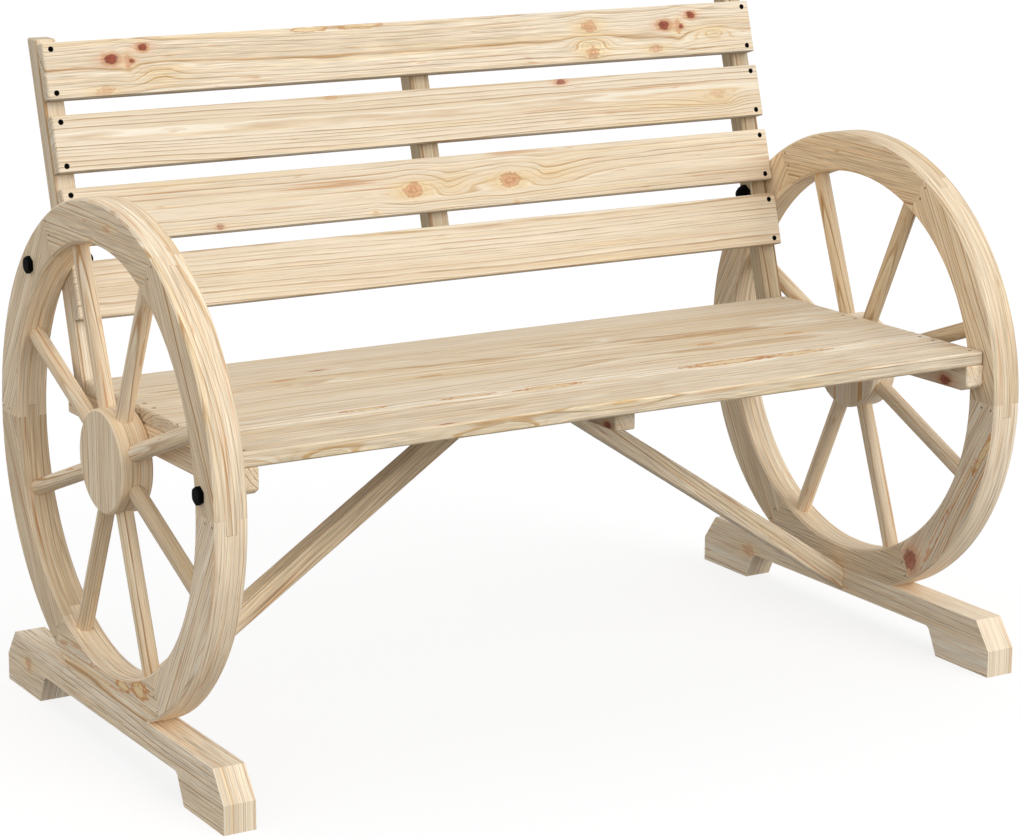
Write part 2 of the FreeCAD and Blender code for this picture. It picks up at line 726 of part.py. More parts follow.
nail_length = "board_thickness - screw_sink + nail_bite"
nail = headed("nail_head_diameter / 2", "nail_head_height", "nail_diameter / 2", nail_length)
NAIL_SPOTS = []
for back in NAIL_ROWS:
    for sign in SIDES.values():
        NAIL_SPOTS.append(((f"{sign} * rail_mid", back, "seat_height - screw_sink"), "-z"))
fasteners("seat_nails", nail, NAIL_SPOTS)

BEARER_SPOTS = []
for front, width in BOARDS.values():
    BEARER_SPOTS.append((("0", f"{front} + {width} / 2", "bearer_underside + screw_sink"), "+z"))
fasteners("bearer_screws", screw("bearer_height - screw_sink + bearer_screw_bite"), BEARER_SPOTS)

FOOT_SPOTS = []
SKID_SPOTS = []
BRACE_SPOTS = []
POST_BOLT_SPOTS = []
CAP_SPOTS = []
RAIL_BOLT_SPOTS = []
for side, sign in SIDES.items():
    inward = "-x" if side == "right" else "+x"
    outward = "+x" if side == "right" else "-x"
    FOOT_SPOTS.append(((f"{sign} * rail_mid", FOOT_SCREW_BACK, "rail_underside + screw_sink"), "+z"))
    for along in SKID_SCREWS:
        SKID_SPOTS.append(((f"{sign} * rim_mid", along, "arch_height + screw_sink"), "+z"))
    top_end = f"{sign} * (bearer_width / 2 + brace_screw_grip - screw_sink)"
    low_end = f"{sign} * (half_seat - brace_screw_grip + screw_sink)"
    BRACE_SPOTS.append(((top_end, "0", BRACE_HIGH), inward))
    BRACE_SPOTS.append(((low_end, "0", BRACE_LOW), outward))
    face = f"{sign} * rim_face"
    POST_BOLT_SPOTS.append(((face, "post_bolt_back", "post_bolt_height"), outward))
    RAIL_BOLT_SPOTS.append(((face, "rail_bolt_back", "rail_bolt_height"), outward))
    CAP_SPOTS.append(((f"{sign} * (half_seat - post_width)", "post_bolt_back", "post_bolt_height"), inward))

fasteners("post_foot_screws", screw("rail_height - screw_sink + foot_screw_bite"), FOOT_SPOTS)
fasteners("skid_screws", screw("skid_height - arch_height - screw_sink + skid_screw_bite"), SKID_SPOTS)
fasteners("brace_screws", screw("brace_screw_grip - screw_sink + brace_screw_bite"), BRACE_SPOTS)
fasteners("post_bolts", bolt("rim_thickness + post_width + cap_bore_depth - screw_end_gap"), POST_BOLT_SPOTS)
fasteners("post_cap_nuts", cap_nut(), CAP_SPOTS)
fasteners("rail_bolts", bolt("rim_thickness + rail_bolt_bite"), RAIL_BOLT_SPOTS)

pin = round_solid([
    ("0", f"-{HALF_RIM}"),
    ("pin_diameter / 2", f"-{HALF_RIM}"),
    ("pin_diameter / 2", HALF_RIM),
    ("0", HALF_RIM),
])
PIN_SPOTS = []
for sign in SIDES.values():
    for number in range(FELLOES):
        angle = f"({FELLOE_TURN} * {number} + pin_turn)"
        for radius in ("rim_middle", "pin_outer"):
            spot = (f"{sign} * rim_mid", f"{radius} * cos{angle}", f"axle_height + {radius} * sin{angle}")
            PIN_SPOTS.append((spot, "+x"))
fasteners("rim_pins", pin, PIN_SPOTS)

# Every piece must be sound, and every cut must have taken wood away
doc.recompute()
faults = []
for item in doc.Objects:
    if "Invalid" in item.State or "Error" in item.State:
        faults.append(f"{item.Name}: {item.State}")
    if item.TypeId.startswith("PartDesign::Subtractive") and item.BaseFeature:
        if not item.Shape.Volume < item.BaseFeature.Shape.Volume:
            faults.append(f"{item.Name}: cuts nothing")
for node in NODES:
    if node.Shape.isNull() or not node.Shape.isValid():
        faults.append(f"{node.Label}: no sound shape")
if faults:
    raise RuntimeError("\n".join(faults))

os.makedirs("parts", exist_ok=True)
for node in NODES:
    node.Shape.exportStep(os.path.join("parts", node.Label + ".step"))
print(len(NODES), "pieces")
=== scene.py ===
import math
from collections import namedtuple
from dataclasses import dataclass

import bpy
import numpy as np
from mathutils import Matrix, Vector


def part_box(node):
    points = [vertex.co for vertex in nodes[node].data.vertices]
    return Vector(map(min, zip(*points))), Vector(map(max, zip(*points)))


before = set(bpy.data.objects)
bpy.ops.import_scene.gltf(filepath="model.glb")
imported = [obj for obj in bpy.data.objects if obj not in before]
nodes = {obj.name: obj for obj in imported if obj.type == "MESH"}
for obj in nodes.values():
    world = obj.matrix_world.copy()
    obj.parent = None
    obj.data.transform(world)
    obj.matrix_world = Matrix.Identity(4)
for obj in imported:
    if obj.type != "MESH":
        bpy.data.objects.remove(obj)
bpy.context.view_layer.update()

# Directions: along the seat, towards its back, up, and up along the leaning back
ALONG = Vector((1, 0, 0))
BACK = Vector((0, 1, 0))
UP = Vector((0, 0, 1))
RECLINE = math.radians(16)
LEAN = Vector((0, math.sin(RECLINE), math.cos(RECLINE)))

# Wheels: pieces of each, the first spoke's angle and the radius of the rim's middle line.
# All lengths are in metres.
SIDES = ("left", "right")
FELLOES = 6
SPOKES = 8
FELLOE_TURN = math.radians(360 / FELLOES)
SPOKE_TURN = math.radians(360 / SPOKES)
SPOKE_PHASE = math.radians(25)
RIM_MIDDLE = 0.27025


class Field:
    """A value that varies over a surface: a shader socket that takes part in Python sums."""

    def __init__(self, finish, socket):
        self.finish = finish
        self.socket = socket

    def output(self, name):
        """Another output of the node that gives this value."""
        return Field(self.finish, self.socket.node.outputs[name])

    def __add__(self, other):
        return self.finish.maths("ADD", self, other)

    def __radd__(self, other):
        return self.finish.maths("ADD", other, self)

    def __sub__(self, other):
        return self.finish.maths("SUBTRACT", self, other)

    def __rsub__(self, other):
        return self.finish.maths("SUBTRACT", other, self)

    def __mul__(self, other):
        return self.finish.maths("MULTIPLY", self, other)

    def __rmul__(self, other):
        return self.finish.maths("MULTIPLY", other, self)

    def __truediv__(self, other):
        return self.finish.maths("DIVIDE", self, other)

    def __pow__(self, other):
        return self.finish.maths("POWER", self, other)

    def squared(self):
        return self * self

    def root(self):
        return self.finish.maths("SQRT", self)

    def sine(self):
        return self.finish.maths("SINE", self)

    def fraction(self):
        return self.finish.maths("FRACT", self)

    def whole(self):
        return self.finish.maths("FLOOR", self)

    def larger(self, other):
        return self.finish.maths("MAXIMUM", self, other)

    def smaller(self, other):
        return self.finish.maths("MINIMUM", self, other)

    def rise(self, low, high):
        """0 up to low and 1 from high on, with a smooth slope between."""
        sockets = {"Value": self, "From Min": low, "From Max": high}
        return self.finish.node("ShaderNodeMapRange", {"interpolation_type": "SMOOTHSTEP"}, sockets)

    def fall(self, low, high):
        """1 up to low and 0 from high on."""
        return 1 - self.rise(low, high)

    def ridge(self, low, high, top, end):
        """Rises from low to high and falls again from top to end."""
        return self.rise(low, high) * self.fall(top, end)


class Finish:
    """A node tree in the making, and the one method that adds its nodes."""

    # A shift's shares in each direction, and the share, two colours and output of a Mix node in colour
    SHIFT_SHARES = (1.0, 1.7, 0.6)
    MIX_SOCKETS = (0, 6, 7)
    MIX_OUTPUT = 2

    def __init__(self, tree):
        self.tree = tree
        self.tree.nodes.clear()

    def node(self, kind, settings=None, sockets=None, output=0):
        """A node of a kind: its settings first, then its sockets' values or links. Gives one output."""
        made = self.tree.nodes.new(kind)
        for key, setting in (settings or {}).items():
            setattr(made, key, setting)
        for key, given in (sockets or {}).items():
            socket = made.inputs[key]
            if isinstance(given, Field):
                self.tree.links.new(given.socket, socket)
            else:
                socket.default_value = given
        return Field(self, made.outputs[output]) if len(made.outputs) else made

    def maths(self, operation, *terms):
        """A Math node on values and numbers in their order."""
        return self.node("ShaderNodeMath", {"operation": operation}, dict(enumerate(terms)))

    def stretched(self, place, scale, shift):
        """A place with each direction scaled, and moved by a share of a shift in each."""
        sockets = {0: place, 1: scale, 2: tuple(shift * share for share in self.SHIFT_SHARES)}
        return self.node("ShaderNodeVectorMath", {"operation": "MULTIPLY_ADD"}, sockets)

    def noise(self, place, detail, output="Fac"):
        """Soft noise of unit grain at a place."""
        sockets = {"Vector": place, "Scale": 1.0, "Detail": detail}
        return self.node("ShaderNodeTexNoise", None, sockets, output)

    def chance(self, count):
        """A random number from 0 to 1 for each whole number."""
        return self.node("ShaderNodeTexWhiteNoise", {"noise_dimensions": "1D"}, {"W": count})

    def blend(self, share, first, second):
        """Colour that goes from the first to the second with a share."""
        sockets = dict(zip(self.MIX_SOCKETS, (share, first, second)))
        return self.node("ShaderNodeMix", {"data_type": "RGBA"}, sockets, self.MIX_OUTPUT)

    def surface(self, shader):
        """Ends the tree with a shader."""
        self.node("ShaderNodeOutputMaterial", None, {"Surface": shader})


def new_finish(name):
    """A fresh material and its tree."""
    material = bpy.data.materials.new(name)
    material.use_nodes = True
    return material, Finish(material.node_tree)


def above(least, share):
    """A share from 0 to 1 squeezed into the range from a least value to 1."""
    return share * (1 - least) + least


# Pine tones, linear red, green and blue
PALE = (0.97, 0.895, 0.75)
CREAM = (0.90, 0.795, 0.635)
HONEY = (0.86, 0.72, 0.535)
GOLD = (0.88, 0.66, 0.33)
LATE = (0.44, 0.265, 0.125)
AMBER = (0.58, 0.30, 0.075)
RESIN = (0.60, 0.265, 0.075)
ROSY = (0.80, 0.47, 0.31)
KNOT = (0.40, 0.095, 0.045)
BARK = (0.17, 0.035, 0.015)
SAWN = (0.50, 0.37, 0.235)

# How shade and warmth change each channel, and the brightest that a channel gets
SHADE_POWERS = (1.0, 1.15, 1.45)
WARM_SHIFTS = (0.04, -0.01, -0.08)
WHITEST = 0.98


def toned(colour, tone, warm):
    """A pine tone made darker or lighter, its blue changing faster than its red as in shaded wood, then
    shifted from blue to red by a share of warmth, kept below full white, with an alpha of one."""
    rows = zip(colour, SHADE_POWERS, WARM_SHIFTS)
    shade = [channel * tone ** power * (1 + shift * warm) for channel, power, shift in rows]
    excess = max(1.0, max(shade) / WHITEST)
    return tuple(channel / excess for channel in shade) + (1,)


def mixed(first, second, share):
    """A tone between two others."""
    return tuple(one + (other - one) * share for one, other in zip(first, second))


# Marks in the wood, placed along, across and through a piece from its middle. A knot's size is its radius
# across the piece, a flame reaches behind and ahead along it, and a fade is painted light and shade, which
# gains or loses a share of light from start to end.
Knot = namedtuple("Knot", "along across size stretch strength")
Flame = namedtuple("Flame", "along across through behind ahead width rings")
Pocket = namedtuple("Pocket", "along across length width strength inside", defaults=(GOLD,))
Band = namedtuple("Band", "across reach strength")
Fade = namedtuple("Fade", "start end share")


@dataclass
class Log:
    """How one piece grew and was sawn, and the painted shade and light on it. The pith is a line beside and
    behind the piece's middle.
    """

    # Pith's place across and through, ring width, slope of the pith along the piece and how far it wanders
    side: float = 0.05
    depth: float = 0.055
    ring: float = 0.0062
    slope: float = 0.0
    wander: float = 0.012
    # How bold ring lines and fibres are, and how amber the lines
    bold: float = 1.0
    grain: float = 0.36
    amber: float = 0.3
    # The wood's tone and warmth, partly its own and partly painted shade and light for where the piece
    # stands, its resin streaks, how dark its sawn ends are, and how dark the painted shade along its lower
    # edge is
    tone: float = 1.0
    warm: float = 0.0
    streaks: float = 0.5
    ends: float = 0.5
    under: float = 0.0
    # Painted light and shade that grows or falls along the piece
    fade: Fade = None
    # Radius of the circle that the lines of a piece's edges follow, or whether its edges have straight lines
    bend: float = None
    boxed: bool = False
    # Red knots, gold swirls, nested gold loops, resin pockets and pale bands
    knots: tuple = ()
    swirls: tuple = ()
    flames: tuple = ()
    pockets: tuple = ()
    bands: tuple = ()


# Noise in the wood: grains to a metre along and across it, where the noise is read, the span over which its
# patches appear, and its detail
Grain = namedtuple("Grain", "along across shift span detail", defaults=(None, 2.0))
NOISE_MIDDLE = 0.5
WAVE = Grain(7, 55, 3.1)
RAGGED = Grain(120, 230, 2.3)
FIBRE = Grain(12, 430, 5.3)
HAIR = Grain(22, 900, 5.9)
DRIFT = Grain(1.6, 5, 0.0, detail=1.0)
TONE_BAND = Grain(1.3, 34, 9.2)
PATCH = Grain(2.2, 16, 7.7, (0.40, 0.62))
GOLD_BAND = Grain(2.6, 105, 4.4, (0.52, 0.72))
FLECK = Grain(9, 430, 6.1, (0.58, 0.70))
STREAK = Grain(4.5, 210, 1.9, (0.63, 0.74), 1.0)
DASH = Grain(26, 240, 8.6, (0.70, 0.80), 1.0)
LINE_PATCH = Grain(11, 150, 2.9, (0.3, 0.6))

# Squared cosines between which a face counts as a flat side or as a sawn end, and cosines for a lower edge
# that gets painted shade
FLAT_FACE = (0.62, 0.72)
SAWN_FACE = (0.3, 0.6)
LOWER_EDGE_SHADE = (0.15, 0.6)


class Wood:
    """One piece of pine in the making. A point lies at u along the piece, v across it and w through it, from
    its middle. Flat is 1 on the faces that carry the marks: all of them, or the two sides of a wheel's piece
    or a skid."""

    def __init__(self, name, centre, along, across, log, seed):
        self.material, self.finish = new_finish("pine_" + name)
        self.log = log
        self.seed = seed
        self.along = along.normalized()
        self.across = (across - self.along * across.dot(self.along)).normalized()
        self.through = self.along.cross(self.across)
        turn = Matrix((self.along, self.across, self.through)).transposed().to_euler()
        spot = self.finish.node("ShaderNodeTexCoord", output="Object")
        self.normal = spot.output("Normal")
        sockets = {"Vector": spot, "Location": tuple(centre), "Rotation": tuple(turn)}
        self.place = self.finish.node("ShaderNodeMapping", {"vector_type": "TEXTURE"}, sockets)
        self.u = self.finish.node("ShaderNodeSeparateXYZ", None, {0: self.place})
        self.v = self.u.output("Y")
        self.w = self.u.output("Z")
        self.flat = 1.0
        if log.bend is not None or log.boxed:
            self.follow_edges()
        self.wave = self.swing(WAVE)
        self.ragged = self.swing(RAGGED)
        self.fibre = self.swing(FIBRE)
        self.tone_band = self.noise(TONE_BAND)

    def follow_edges(self):
        """Off the flat sides, v becomes the distance from the bend's circle, or nothing on a boxed piece, so
        that the lines there keep to the bend or run straight."""
        self.flat = self.facing(self.through).squared().rise(*FLAT_FACE)
        kept = 0.0
        if self.log.bend is not None:
            kept = (self.u.squared() + (self.v + self.log.bend).squared()).root() - self.log.bend
        self.v = self.v * self.flat + kept * (1 - self.flat)
        self.place = self.finish.node("ShaderNodeCombineXYZ", None, {0: self.u, 1: self.v, 2: self.w})

    def facing(self, direction):
        """Cosine between the surface's normal and a direction."""
        sockets = {0: self.normal, 1: tuple(direction)}
        return self.finish.node("ShaderNodeVectorMath", {"operation": "DOT_PRODUCT"}, sockets, "Value")

    def noise(self, grain, output="Fac"):
        """Noise drawn out along the piece."""
        scale = (grain.along, grain.across, grain.across)
        place = self.finish.stretched(self.place, scale, self.seed + grain.shift)
        return self.finish.noise(place, grain.detail, output)

    def swing(self, grain):
        """Noise about zero."""
        return self.noise(grain) - NOISE_MIDDLE

    def patches(self, grain):
        """Patches where the noise is high, from 0 to 1 over the grain's span."""
        return self.noise(grain).rise(*grain.span)

    def tint(self, colour):
        """A pine tone in this piece's own shade and warmth."""
        return toned(colour, self.log.tone, self.log.warm)


# Knots: spans of their parts in radii from the middle, and how the ring lines stream round them
CORE = (0.7, 1.1)
EDGE = (0.4, 0.8, 0.85, 1.15)
HEART = (0.0, 0.7)
RIM = (0.8, 1.1, 1.25, 1.9)
HALO = (0.5, 2.3)
SWIRL_REACH = (1.0, 1.7)
SWIRL_LINE = (0.35, 0.75, 0.8, 1.0)
SWIRL_TURNS = 1.8
STREAM_WIDTH = 0.55
STREAM_POWER = -1.25
RAGGED_EDGE = 1.3
FIBRE_EDGE = 0.5
HALO_STRETCH = 0.35
RAGGED_HALO = 1.4
HEART_LEAN = 0.5

# How strong the parts of knots and swirls are, and the tones of a swirl
HALO_SHARE = 0.6
RIM_EVEN = 0.6
RIM_SHARE = 0.8
EDGE_SHARE = 0.5
EDGE_RAGGED = 1.5
HEART_SHARE = 0.6
SWIRL_CORE = 0.8
SWIRL_RINGS = 0.55
SWIRL_TONE = mixed(ROSY, RESIN, 0.45)
SWIRL_INK = mixed(RESIN, KNOT, 0.4)


class KnotPlace:
    """Where a point lies about a knot. Away is its distance from the knot's middle in radii, made ragged by
    noise, flow is the same drawn out along the grain, and sway is how far the ring lines stream aside, which
    falls off with a power of the distance."""

    def __init__(self, wood, knot):
        self.away_u = (wood.u - knot.along) / (knot.size * knot.stretch)
        away_v = (wood.v - knot.across) / knot.size
        square = self.away_u.squared() + away_v.squared()
        drawn_out = self.away_u.squared() * HALO_STRETCH + away_v.squared()
        self.away = square.root() + wood.ragged * RAGGED_EDGE + wood.fibre * FIBRE_EDGE
        self.flow = drawn_out.root() + wood.ragged * RAGGED_HALO + wood.fibre
        self.sway = (wood.v - knot.across) * (square * STREAM_WIDTH + 1) ** STREAM_POWER
        self.deep = wood.flat * knot.strength


def with_halo(wood, colour, place, tone):
    """A soft halo of a tone about a knot, drawn out along the grain."""
    share = place.flow.fall(*HALO) * (HALO_SHARE + wood.ragged)
    return wood.finish.blend(share * place.deep, colour, wood.tint(tone))


def with_knot(wood, colour, place):
    """A red knot: a rosy halo, a rim of resin, a red core with a ragged dark edge, and a dark heart."""
    blend = wood.finish.blend
    deep = place.deep
    colour = with_halo(wood, colour, place, ROSY)
    rim = place.away.ridge(*RIM) * (RIM_EVEN + wood.ragged)
    edge = place.away.ridge(*EDGE) * (EDGE_SHARE + wood.ragged * EDGE_RAGGED)
    heart = (place.away + place.away_u * HEART_LEAN).fall(*HEART)
    colour = blend(rim * deep * RIM_SHARE, colour, wood.tint(RESIN))
    colour = blend(place.away.fall(*CORE) * deep, colour, wood.tint(KNOT))
    colour = blend(edge * deep, colour, wood.tint(BARK))
    return blend(heart * deep * HEART_SHARE, colour, wood.tint(BARK))


def with_swirl(wood, colour, place):
    """A gold swirl: a halo and a core with rings, from the fraction of the distance times a few turns."""
    blend = wood.finish.blend
    deep = place.deep
    colour = with_halo(wood, colour, place, GOLD)
    rings = place.away.fall(*SWIRL_REACH) * (place.away * SWIRL_TURNS).fraction().ridge(*SWIRL_LINE)
    colour = blend(place.away.fall(*CORE) * deep * SWIRL_CORE, colour, wood.tint(SWIRL_TONE))
    return blend(rings * deep * SWIRL_RINGS, colour, wood.tint(SWIRL_INK))


# Ring widths swell and shrink with two sines of the radius: radians to a metre and reach in rings
SLOW_TURNS = 120
SLOW_REACH = 0.9
QUICK_TURNS = 277
QUICK_REACH = 0.4
WAVE_RINGS = 0.7
FLAME_WAVE = 0.9
FLAME_POWER = -2


def ring_count(wood, sway):
    """Rings from the pith to a point: the radius about a pith line that wanders slowly along the grain, with
    the sway about knots taken off, divided by the ring width, and two sines and a wave added."""
    log = wood.log
    drift_v = wood.finish.node("ShaderNodeSeparateColor", None, {0: wood.noise(DRIFT, "Color")})
    drift_w = drift_v.output("Green")
    reach_v = wood.v - sway - log.side + (drift_v - NOISE_MIDDLE) * log.wander
    reach_w = wood.w - log.depth + (drift_w - NOISE_MIDDLE) * log.wander + wood.u * log.slope
    radius = (reach_v.squared() + reach_w.squared()).root()
    slow = (radius * SLOW_TURNS + wood.seed).sine() * SLOW_REACH
    quick = (radius * QUICK_TURNS).sine() * QUICK_REACH
    return radius / log.ring + slow + quick + wood.wave * WAVE_RINGS


def flame_bell(wood, flame):
    """A bell about a flame's place: a power of one plus the squared distance, with a reach of its own behind
    and ahead. Rings added in a bell draw nested loops."""
    ahead = (wood.u - flame.along) / flame.ahead
    behind = (flame.along - wood.u) / flame.behind
    away_u = ahead.larger(behind) + wood.wave * FLAME_WAVE
    away_v = (wood.v - flame.across) / flame.width
    away_w = (wood.w - flame.through) / flame.width
    return (away_u.squared() + away_v.squared() + away_w.squared() + 1) ** FLAME_POWER


# Lines of a ring as spans of its width, fine lines to a ring, and how strong each line is
LATE_LINE = (0.70, 0.88, 0.91, 1.0)
BROAD_LINE = (0.2, 0.9, 0.92, 1.0)
FINE_LINE = (0.5, 0.8, 0.85, 1.0)
FRESH_WOOD = (0.04, 0.22)
FINE_TO_A_RING = 3.37
LATE_SHARE = 0.95
BROAD_SHARE = 0.13
FAINTEST_YEAR = 0.2
FAINTEST_STRETCH = 0.3
FAINTEST_FACE = 0.5
LEAST_FRESH = 0.5
Rings = namedtuple("Rings", "late line fine fresh")


def ring_lines(wood, years):
    """Lines from the fraction of the ring count: a thin late line with a broad shadow before it, fine lines
    between, and pale fresh wood after it. Each year has its own strength by chance, and lines fade in
    patches."""
    step = years.fraction()
    chance = wood.finish.chance(years.whole() + wood.seed)
    late = step.ridge(*LATE_LINE)
    line = late * LATE_SHARE + step.ridge(*BROAD_LINE) * BROAD_SHARE
    line = line * above(FAINTEST_YEAR, chance) * above(FAINTEST_STRETCH, wood.patches(LINE_PATCH))
    line = line * above(FAINTEST_FACE, wood.flat)
    seasons = years * FINE_TO_A_RING
    fine = seasons.fraction().ridge(*FINE_LINE) * wood.finish.chance(seasons.whole() + wood.seed)
    fresh = step.fall(*FRESH_WOOD) * above(LEAST_FRESH, chance)
    return Rings(late, line, fine, fresh)


# How far the marks of clear wood colour it
HONEY_SPAN = (0.3, 0.7)
BAND_SPAN = (0.5, 1.3)
BAND_WAVE = 1.2
FRESH_SHARE = 0.85
GOLD_SHARE = 0.2
GOLD_BY_AMBER = 0.25
FINE_SHARE = 0.38
FINE_INK = mixed(GOLD, AMBER, 0.6)
LINE_SHARE = 0.80
LINE_LIMIT = 0.9
FLECK_SHARE = 0.22
DASH_SHARE = 0.8


def clear_wood(wood, rings):
    """Colour of the wood between its marks: cream to honey in bands, pale after each ring line, then pale
    bands, gold bands, ring lines, flecks, and streaks and dashes of resin, each blended over the last."""
    log = wood.log
    blend = wood.finish.blend
    ink = wood.tint(mixed(LATE, AMBER, log.amber))
    gold = wood.patches(GOLD_BAND) * (GOLD_SHARE + GOLD_BY_AMBER * log.amber)
    streak = wood.patches(STREAK) * wood.patches(PATCH)
    colour = blend(wood.tone_band.rise(*HONEY_SPAN), wood.tint(CREAM), wood.tint(HONEY))
    colour = blend(rings.fresh * FRESH_SHARE, colour, wood.tint(PALE))
    for band in log.bands:
        away = (wood.v - band.across) / band.reach + wood.wave * BAND_WAVE
        colour = blend(away.squared().fall(*BAND_SPAN) * band.strength, colour, toned(PALE, 1.0, 0.0))
    colour = blend(gold, colour, wood.tint(GOLD))
    colour = blend(rings.fine * (FINE_SHARE * log.bold), colour, wood.tint(FINE_INK))
    colour = blend((rings.line * (LINE_SHARE * log.bold)).smaller(LINE_LIMIT), colour, ink)
    colour = blend(wood.patches(FLECK) * (FLECK_SHARE * log.bold), colour, ink)
    colour = blend(streak * log.streaks, colour, wood.tint(RESIN))
    return blend(wood.patches(DASH) * (DASH_SHARE * log.streaks), colour, wood.tint(RESIN))


# How far a flame and its ring lines colour the wood
FLAME_GOLD = 0.4
FLAME_LATE = 0.7
FLAME_FINE = 0.4
FLAME_INK = mixed(GOLD, AMBER, 0.8)


def with_flames(wood, colour, bells, rings):
    """Gold where the strongest bell is high, with its ring lines in amber."""
    glow = 0.0
    for bell in bells:
        glow = bell.larger(glow)
    lines = rings.late * FLAME_LATE + rings.fine * FLAME_FINE
    colour = wood.finish.blend(glow * FLAME_GOLD, colour, wood.tint(GOLD))
    return wood.finish.blend(glow * lines, colour, wood.tint(FLAME_INK))


# Pockets: spans of the inside and the outline in radii, how uneven they are, and how full
POCKET_INSIDE = (0.75, 0.95)
POCKET_OUTLINE = (0.62, 0.86, 0.98, 1.22)
POCKET_RAGGED = 1.3
POCKET_WAVE = 0.9
POCKET_FILL = 0.75


def with_pocket(wood, colour, pocket):
    """A ragged oval, filled with its own tone inside an outline of resin."""
    away_u = (wood.u - pocket.along) / pocket.length
    away_v = (wood.v - pocket.across) / pocket.width
    away = (away_u.squared() + away_v.squared()).root()
    away = away + wood.ragged * POCKET_RAGGED + wood.wave * POCKET_WAVE
    deep = wood.flat * pocket.strength
    inside = away.fall(*POCKET_INSIDE) * (deep * POCKET_FILL)
    colour = wood.finish.blend(inside, colour, wood.tint(pocket.inside))
    return wood.finish.blend(away.ridge(*POCKET_OUTLINE) * deep, colour, wood.tint(RESIN))


# Light and shade in the wood: fibres beside hairs, bands, and ends darkened by a tone and by their ring lines
FIBRE_LIGHT = 0.6
BAND_LIGHT = 1.04
BAND_SHADE = 0.06
SHADE_SPAN = (0.35, 0.75)
END_TONE = 0.45
END_LINES = 1.2
END_SHADE = 0.1


def shaded(wood, colour, rings):
    """Colour times light, which varies with fibres and bands and is less on sawn ends, with painted shade on
    lower edges and painted light and shade that grows or falls along the piece."""
    log = wood.log
    light = (wood.fibre * FIBRE_LIGHT + wood.swing(HAIR)) * (log.grain * log.bold) + 1
    light = light * (BAND_LIGHT - wood.tone_band.rise(*SHADE_SPAN) * BAND_SHADE)
    sawn = wood.facing(wood.along).squared().rise(*SAWN_FACE) * log.ends
    colour = wood.finish.blend(sawn * END_TONE, colour, wood.tint(SAWN))
    light = light * (1 - sawn * (rings.line * END_LINES + END_SHADE))
    # Painted light and shade: the piece grows lighter or darker from one place along it to another
    if log.fade is not None:
        light = light * (wood.u.rise(log.fade.start, log.fade.end) * log.fade.share + 1)
    # Painted shade: faces turned down towards the lower edge are darkened as if in shadow
    if log.under:
        light = light * (1 - wood.facing(-wood.across).rise(*LOWER_EDGE_SHADE) * log.under)
    return wood.finish.node("ShaderNodeHueSaturation", None, {"Value": light, "Color": colour})


# Relief and gloss of planed pine
FIBRE_HEIGHT = 0.3
RELIEF = {"Strength": 0.6, "Distance": 0.0012}
ROUGH = 0.6
FIBRE_ROUGH = 0.2
WOOD_SPECULAR = 0.3


def planed(wood, colour, rings):
    """Ends the piece's material: its colour, a bump of fibres and ring lines, and a roughness of fibres."""
    height = wood.fibre * FIBRE_HEIGHT + rings.line
    sockets = {
        "Base Color": colour,
        "Roughness": wood.fibre * FIBRE_ROUGH + ROUGH,
        "Normal": wood.finish.node("ShaderNodeBump", None, RELIEF | {"Height": height}),
        "Specular IOR Level": WOOD_SPECULAR,
    }
    wood.finish.surface(wood.finish.node("ShaderNodeBsdfPrincipled", None, sockets))


def pine(name, centre, along, across, log, seed):
    """Sawn pine: rings counted from a pith, with flames added, give its lines. Flames, pockets, swirls and
    knots are blended over the clear wood, which is then shaded."""
    wood = Wood(name, centre, along, across, log, seed)
    swirls = [KnotPlace(wood, swirl) for swirl in log.swirls]
    knots = [KnotPlace(wood, knot) for knot in log.knots]
    bells = [flame_bell(wood, flame) for flame in log.flames]
    years = ring_count(wood, sum((place.sway for place in swirls + knots), 0.0))
    for flame, bell in zip(log.flames, bells):
        years = years + bell * flame.rings
    rings = ring_lines(wood, years)
    colour = clear_wood(wood, rings)
    if bells:
        colour = with_flames(wood, colour, bells, rings)
    for pocket in log.pockets:
        colour = with_pocket(wood, colour, pocket)
    for place in swirls:
        colour = with_swirl(wood, colour, place)
    for place in knots:
        colour = with_knot(wood, colour, place)
    planed(wood, shaded(wood, colour, rings), rings)
    return wood.material


def middle(name):
    """The middle of a CAD node's box."""
    low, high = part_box(name)
    return (low + high) / 2


def dress(name, material):
    """Gives a CAD node a material in each of its slots."""
    mesh = nodes[name].data
    for slot in range(len(mesh.materials)):
        mesh.materials[slot] = material


# Chance: the lot that it is drawn from, the spread of a pith's place, and the range of noise places
LOT = 11
PITH_SPREAD = 0.008
SEED_RANGE = 40
draw = np.random.default_rng(LOT)


def saw(name, along, across, log, centre=None):
    """Dresses one wooden node in pine of its own, with a little chance in the pith's place."""
    log.side += draw.normal(0, PITH_SPREAD)
    log.depth += draw.normal(0, PITH_SPREAD)
    seed = float(draw.uniform(0, SEED_RANGE))
    spot = middle(name) if centre is None else centre
    dress(name, pine(name, spot, along, across, log, seed))


def slat(**growth):
    """A back slat's log: painted shade along its lower edge, with pale ends."""
    return Log(under=0.5, ends=0.15, **growth)
